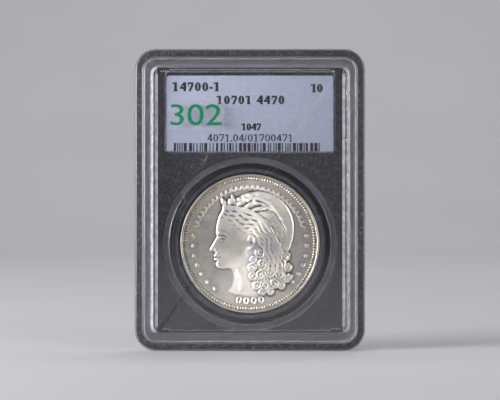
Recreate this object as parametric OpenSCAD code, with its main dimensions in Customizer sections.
// Graded coin slab: a coin sealed between two clear moulded shells, with a dark core, a gasket and labels.
// The slab stands upright on its bottom edge. X is its width, Z its height, and its front faces -Y.
// Each piece is drawn lying down, with x to the right, y up the slab and z towards the front,
// and upright() stands it up. All sizes are in millimetres.

/* [Slab] */
// Width of the sealed slab
slab_w = 63; // [60:0.5:80]
// Height of the sealed slab
slab_h = 82.5; // [70:0.5:100]
// Radius of the outer corners
corner_r = 5.9; // [4.5:0.1:8]

/* [Coin] */
// Diameter of the coin
coin_d = 38.1; // [24:0.1:46]
// Thickness of the coin over its rims
coin_t = 2.4; // [1.6:0.1:3.2]
// Width of the coin's raised rim
coin_rim_w = 0.9; // [0.4:0.1:1.5]
// Depth of the coin's field below its rim
coin_field_depth = 0.3; // [0.1:0.05:0.5]

/* [Shells] */
// Thickness of each window
window_t = 1.3; // [0.8:0.1:2]
// Rise of the stacking rim over the front window
rim_rise = 1.3; // [1:0.1:1.8]
// Width of the solid flange where the shells are welded
flange_w = 1.8; // [1.7:0.1:3]
// Chamfer along the outer edges
edge_chamfer = 0.5; // [0.2:0.1:0.8]
// Height of the stacking ridge over the frosted land outside it
ridge_step = 0.7; // [0.4:0.1:1.2]

/* [Front rim, as distances in from the outer edge] */
// Outer foot of the stacking ridge
ridge_start = 2.1; // [1.6:0.1:2.4]
// Inner edge of the ridge's flat top
ridge_end = 4.5; // [4.2:0.1:4.8]
// Foot of the slope that falls from the ridge to the window
slope_end = 5.1; // [5:0.1:5.4]
// Width of the ribs along the sides of the window
lip_w = 0.8; // [0.4:0.1:1.2]
// Width of the ribs across its top and bottom
lip_end_w = 0.3; // [0.2:0.1:1]
// Rise of those ribs over the window
lip_rise = 0.2; // [0.1:0.05:0.4]
// Distance from the top and bottom edges to where the side ribs stop
side_rib_stop = 6.7; // [6.5:0.1:10]
// Distance from the side edges to where the ribs across the top and bottom stop
end_rib_stop = 9.5; // [8:0.5:12]
// Distance from the outer edges to where the back feet stop
foot_stop = 12; // [10:0.5:16]

/* [Weld joint] */
// Width of the tongue on the back shell
tongue_w = 0.6; // [0.4:0.1:0.7]
// Height of that tongue
tongue_h = 0.7; // [0.4:0.1:1]
// Distance from the outer edge to the tongue
tongue_inset = 0.6; // [0.5:0.1:0.7]
// Side clearance of the tongue in its groove
tongue_clear = 0.05; // [0.03:0.01:0.1]
// Height of the weld bead between the tongue's tip and the groove's floor
bead_h = 0.2; // [0.1:0.05:0.3]

/* [Core, gasket and coin well] */
// Thickness of the dark core
core_t = 1.8; // [1.2:0.1:2.2]
// Clearance around the core
core_clear = 0.15; // [0.1:0.05:0.4]
// Radial width of the gasket
gasket_w = 2.9; // [2.4:0.1:4]
// Rise of the gasket's lip over the coin
gasket_lip = 0.3; // [0.2:0.05:0.5]
// Radial width of the chamfer between the coin's edge and that lip
gasket_chamfer = 0.55; // [0.3:0.05:0.8]
// Radial width of the slope outside the lip, and of the flange outside that
gasket_step = 0.4; // [0.2:0.1:0.5]
// Radial clearance between the coin and the gasket, and between the gasket and the core
ring_clear = 0.05; // [0.03:0.01:0.1]
// Radial width of the well wall around the gasket
well_w = 1.7; // [1:0.1:2.4]
// Space between that wall and the label pocket
well_gap = 1; // [0.5:0.1:2]

/* [Labels] */
// Width of the label pocket
pocket_w = 46.6; // [40:0.1:48]
// Thickness of the pocket's walls
pocket_wall = 0.4; // [0.3:0.1:1]
// Radius of the pocket's corners
pocket_r = 1; // [0.5:0.1:2]
// Free space between a label and the pocket's sides
label_clear = 0.1; // [0.05:0.05:0.5]
// Free space over a label that rests on the pocket's lower wall
label_headroom = 0.9; // [0.5:0.1:2]
// Thickness of the label card
label_t = 0.3; // [0.15:0.05:0.5]
// Width of the foil seal on the back label
foil_w = 26; // [16:1:36]
// Height of that foil seal
foil_h = 6.5; // [4:0.5:12]
// Thickness of the foil and of the front sticker
film_t = 0.08; // [0.05:0.01:0.15]
// Width of the clear sticker on the front window
sticker_w = 15.6; // [10:0.1:20]
// Height of that sticker
sticker_h = 8; // [4:0.1:10]

/* [Hidden] */
$fn = 96;

// Levels through the thickness, measured from the seam between the shells
gasket_half = coin_t / 2 + gasket_lip;
window_in = gasket_half;           // the windows close on the gasket's lips
window_out = window_in + window_t;
rim_top = window_out + rim_rise;
foot_top = rim_top - lip_rise;     // the feet come down on the front ribs of the slab below
land_top = rim_top - ridge_step;
core_face = core_t / 2;

// Distances in from the outer edge
corner_centre = corner_r;
inner_centre = slope_end + 2;      // where the inner loops, which are rounder, turn
lip_start = slope_end + 0.4;
lip_end = lip_start + lip_w;
lip_top = lip_start + lip_end_w;   // the same across the top and bottom
foot_clear = 0.1;                  // the back feet drop inside the front slope of the slab below
foot_start = slope_end + foot_clear;
foot_end = lip_end;
core_inset = flange_w + core_clear;

// Radii around the coin
coin_r = coin_d / 2;
gasket_in = coin_r + ring_clear;
gasket_out = coin_r + gasket_w;
core_hole_r = gasket_out + ring_clear;
well_in = core_hole_r + 0.1;
well_out = well_in + well_w;
gasket_lip_in = gasket_in + gasket_chamfer;
gasket_slope_out = gasket_out - gasket_step;
gasket_lip_out = gasket_slope_out - gasket_step;
gasket_flat = core_face + 0.1;     // the flange of the gasket stands this far from the middle

// Heights up the slab, from its middle
lip_bottom = -slab_h / 2 + lip_start;
coin_y = lip_bottom + well_out;    // the well wall runs into the lower rib
pocket_bottom = coin_y + well_out + well_gap;
pocket_top = slab_h / 2 - lip_end + pocket_wall;
pocket_h = pocket_top - pocket_bottom;
label_w = pocket_w - 2 * (pocket_wall + label_clear);
label_bottom = pocket_bottom + pocket_wall;   // it rests on the pocket's lower wall
label_h = pocket_h - 2 * pocket_wall - label_headroom;
label_y = label_bottom + label_h / 2;
label_r = pocket_r - pocket_wall + label_clear;   // so its corners stay clear of the pocket's
sticker_x = -label_w / 2 + sticker_w / 2 + 0.3;
sticker_y = label_y - 0.4;

overlap = 0.01;                    // how far a cut runs past the surface that it opens

// Stands a piece that was drawn lying down on the slab's bottom edge, front to -Y.
// The rim stands further out than the feet, so the seam lies a little behind the middle.
module upright() {
    translate([0, (rim_top - foot_top) / 2, slab_h / 2]) rotate([90, 0, 0]) children();
}

// A flat plate with true round corners.
module rounded_plate(w, h, r, z0, z1) {
    translate([0, 0, z0]) linear_extrude(z1 - z0) {
        square([w, h - 2 * r], center = true);
        square([w - 2 * r, h], center = true);
        for (sx = [-1, 1], sy = [-1, 1])
            translate([sx * (w / 2 - r), sy * (h / 2 - r)]) circle(r);
    }
}

// The slab's outline at a distance in from its outer edge. Its corners turn about a point at centre.
module loop_plate(inset, centre, z0, z1) {
    rounded_plate(slab_w - 2 * inset, slab_h - 2 * inset, centre - inset, z0, z1);
}

// The same outline, tapering from inset0 at z0 to inset1 at z1, with flat flanks and cone corners.
module loop_taper(inset0, inset1, centre, z0, z1) {
    half_w = slab_w / 2 - centre;
    half_h = slab_h / 2 - centre;
    r0 = centre - inset0;
    r1 = centre - inset1;
    translate([-half_w, 0, 0]) rotate([90, 0, 90]) linear_extrude(2 * half_w)
        polygon([[-half_h - r0, z0], [half_h + r0, z0], [half_h + r1, z1], [-half_h - r1, z1]]);
    translate([0, half_h, 0]) rotate([90, 0, 0]) linear_extrude(2 * half_h)
        polygon([[-half_w - r0, z0], [half_w + r0, z0], [half_w + r1, z1], [-half_w - r1, z1]]);
    for (sx = [-1, 1], sy = [-1, 1])
        translate([sx * half_w, sy * half_h, z0]) cylinder(h = z1 - z0, r1 = r0, r2 = r1);
}

// Four straight bars along the sides. The upright ones stop at side_stop from the top and bottom
// edges, the others at end_stop from the side edges.
// The bars across the top and bottom reach in as far as inset_top, those up the sides to inset_side.
module side_bars(inset0, inset_side, inset_top, side_stop, end_stop, z0, z1) {
    long_w = slab_w - 2 * end_stop;
    long_h = slab_h - 2 * side_stop;
    for (flip = [0, 180]) rotate([0, 0, flip]) {
        translate([-long_w / 2, slab_h / 2 - inset_top, z0]) cube([long_w, inset_top - inset0, z1 - z0]);
        translate([slab_w / 2 - inset_side, -long_h / 2, z0]) cube([inset_side - inset0, long_h, z1 - z0]);
    }
}

module ring(r_in, r_out, z0, z1) {
    translate([0, 0, z0]) difference() {
        cylinder(h = z1 - z0, r = r_out);
        translate([0, 0, -1]) cylinder(h = z1 - z0 + 2, r = r_in);
    }
}

// The walls on the inside of a shell: one around the coin's gasket, one around the label.
// Both stand on the core and so clamp it. z0 is the core's face and z1 is inside the window.
module inner_walls(z0, z1) {
    translate([0, coin_y, 0]) ring(well_in, well_out, z0, z1);
    translate([0, pocket_bottom + pocket_h / 2, 0]) difference() {
        rounded_plate(pocket_w, pocket_h, pocket_r, z0, z1);
        rounded_plate(
            pocket_w - 2 * pocket_wall, pocket_h - 2 * pocket_wall, pocket_r - pocket_wall,
            z0 - overlap, z1 + overlap
        );
    }
}

// The hollow inside a shell, over the core.
module shell_cavity(z1) {
    loop_plate(flange_w, corner_centre, -overlap, z1);
}

module front_shell() color([0.86, 0.88, 0.92, 0.35]) upright() {
    difference() {
        union() {
            loop_plate(0, corner_centre, 0, land_top - edge_chamfer);
            loop_taper(0, edge_chamfer, corner_centre, land_top - edge_chamfer, land_top);
            loop_taper(ridge_start, ridge_start + ridge_step, corner_centre, land_top, rim_top);
        }
        loop_taper(slope_end, ridge_end, inner_centre, window_out, rim_top + overlap);
        shell_cavity(window_in);
        difference() {
            loop_plate(tongue_inset - tongue_clear, corner_centre, -overlap, tongue_h + bead_h);
            loop_plate(
                tongue_inset + tongue_w + tongue_clear, corner_centre, -2 * overlap, tongue_h + bead_h + 1
            );
        }
    }
    side_bars(
        lip_start, lip_end, lip_top, side_rib_stop, end_rib_stop,
        window_out - window_t / 2, window_out + lip_rise
    );
    inner_walls(core_face, window_in + window_t / 2);
}

module back_shell() color([0.86, 0.88, 0.92, 0.35]) upright() {
    mirror([0, 0, 1]) {
        difference() {
            union() {
                loop_plate(0, corner_centre, 0, window_out - edge_chamfer);
                loop_taper(0, edge_chamfer, corner_centre, window_out - edge_chamfer, window_out);
            }
            shell_cavity(window_in);
        }
        side_bars(foot_start, foot_end, foot_end, foot_stop, foot_stop, window_out - window_t / 2, foot_top);
        inner_walls(core_face, window_in + window_t / 2);
    }
    difference() {
        loop_plate(tongue_inset, corner_centre, -window_t / 2, tongue_h);
        loop_plate(tongue_inset + tongue_w, corner_centre, -window_t, tongue_h + 1);
    }
}

// Melted plastic that joins the tongue's tip to the groove's floor.
module weld_bead() color([0.8, 0.82, 0.86, 0.5]) upright() difference() {
    loop_plate(tongue_inset, corner_centre, tongue_h, tongue_h + bead_h);
    loop_plate(tongue_inset + tongue_w, corner_centre, tongue_h - 1, tongue_h + bead_h + 1);
}

module core_insert() color([0.2, 0.2, 0.23]) upright() difference() {
    loop_plate(core_inset, corner_centre, -core_face, core_face);
    translate([0, coin_y, -core_face - 1]) cylinder(h = core_t + 2, r = core_hole_r);
}

module gasket_ring() color([0.1, 0.1, 0.13]) upright() translate([0, coin_y, 0]) rotate_extrude()
    polygon([
        [gasket_in, -coin_t / 2], [gasket_lip_in, -gasket_half], [gasket_lip_out, -gasket_half],
        [gasket_slope_out, -gasket_flat], [gasket_out, -gasket_flat],
        [gasket_out, gasket_flat], [gasket_slope_out, gasket_flat],
        [gasket_lip_out, gasket_half], [gasket_lip_in, gasket_half], [gasket_in, coin_t / 2]
    ]);

module coin() color([0.78, 0.76, 0.73]) upright() translate([0, coin_y, 0]) difference() {
    translate([0, 0, -coin_t / 2]) cylinder(h = coin_t, r = coin_r);
    for (side = [-1, 1])
        translate([0, 0, side * coin_t / 2 - coin_field_depth])
            cylinder(h = 2 * coin_field_depth, r = coin_r - coin_rim_w);
}

module label_card(z0) {
    translate([0, label_y, 0]) rounded_plate(label_w, label_h, label_r, z0, z0 + label_t);
}

module front_label() color([0.72, 0.74, 0.82]) upright() label_card(core_face);

module back_label() color([0.72, 0.74, 0.82]) upright() label_card(-core_face - label_t);

module security_foil() color([0.75, 0.78, 0.82]) upright()
    translate([-foil_w / 2, label_y - foil_h / 2, -core_face - label_t - film_t])
        cube([foil_w, foil_h, film_t]);

module inventory_sticker() color([0.9, 0.92, 0.95, 0.4]) upright() translate([sticker_x, sticker_y, 0])
    rounded_plate(sticker_w, sticker_h, pocket_r, window_out, window_out + film_t);

front_shell();
back_shell();
weld_bead();
core_insert();
gasket_ring();
coin();
front_label();
back_label();
security_foil();
inventory_sticker();
